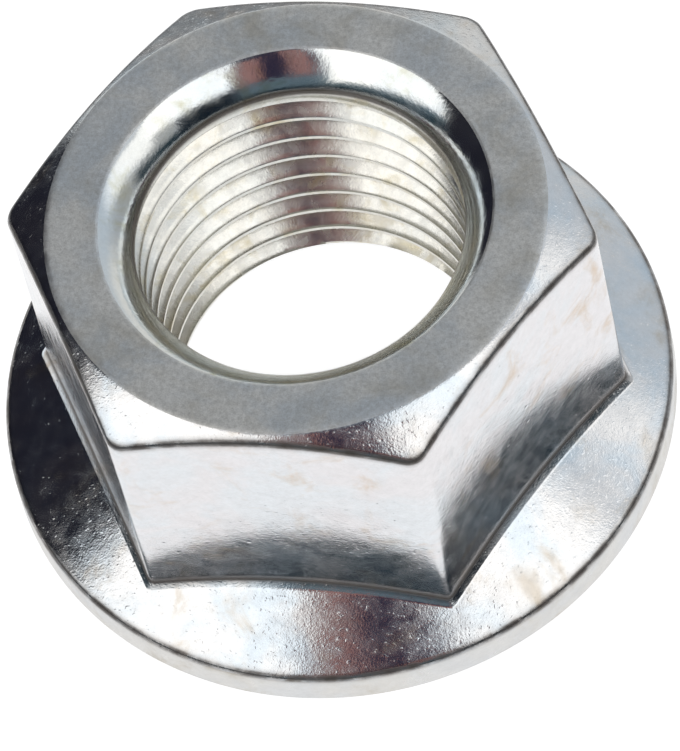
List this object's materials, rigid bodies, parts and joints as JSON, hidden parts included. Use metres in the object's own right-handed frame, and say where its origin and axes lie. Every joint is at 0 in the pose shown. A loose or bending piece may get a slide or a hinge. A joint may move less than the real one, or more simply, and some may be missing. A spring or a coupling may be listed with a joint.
{
  "type": "serrated hexagon flange nut",
  "caption": "Hexagon nut with a wide conical flange, serrated under the flange, and a fine-pitch threaded bore.",
  "frame": {"origin": "on the thread axis, in the plane of the bearing face", "axes": "+Z along the thread axis from the bearing face to the top face, +X through a corner of the hexagon"},
  "size_m": [0.031, 0.031, 0.016],
  "materials": {
    "zinc_steel": "bright zinc plate on forged steel, satin on the turned top face"
  },
  "bodies": {
    "root": {"flange_nut": "zinc_steel"}
  },
  "joints": []
}
